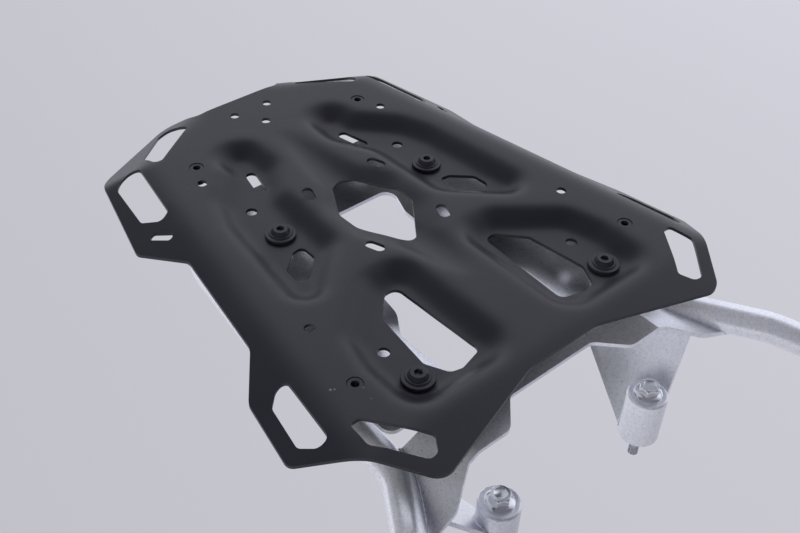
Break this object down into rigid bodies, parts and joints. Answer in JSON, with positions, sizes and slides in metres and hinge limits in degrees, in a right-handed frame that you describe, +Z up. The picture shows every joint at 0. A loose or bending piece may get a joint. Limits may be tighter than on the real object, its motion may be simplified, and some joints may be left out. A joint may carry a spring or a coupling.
{
  "type": "motorcycle luggage rack",
  "caption": "Motorcycle luggage rack: a black die-formed load plate with strap slots on a welded silver carrier of sheet, bent tube and two gusset legs.",
  "frame": {"origin": "midway between the two boss bolts, on the seat under the bosses where the rack stands on the motorcycle", "axes": "+Z up, +Y towards the rear of the motorcycle, +X to the side, symmetric about X = 0"},
  "size_m": [0.4204, 0.5129, 0.137],
  "materials": {
    "plate_black": "satin powder coat",
    "frame_silver": "satin metallic paint",
    "fastener_black": "satin black",
    "bright_zinc": "bright zinc"
  },
  "bodies": {
    "root": {"load_plate": "plate_black", "carrier_sheet": "frame_silver", "grab_rail": "frame_silver", "leg_left": "frame_silver", "leg_right": "frame_silver", "boss_left": "frame_silver", "boss_right": "frame_silver", "boss_bolts": "bright_zinc", "rail_lug_left": "frame_silver", "rail_lug_right": "frame_silver", "plate_screws_front": "fastener_black", "plate_screws_rear": "fastener_black", "stepped_washers_front": "fastener_black", "stepped_washers_rear": "fastener_black", "spacers_front": "bright_zinc", "spacers_rear": "bright_zinc", "flange_nuts_front": "bright_zinc", "flange_nuts_rear": "bright_zinc", "threaded_inserts_front": "fastener_black", "threaded_inserts_rear": "fastener_black"}
  },
  "joints": []
}
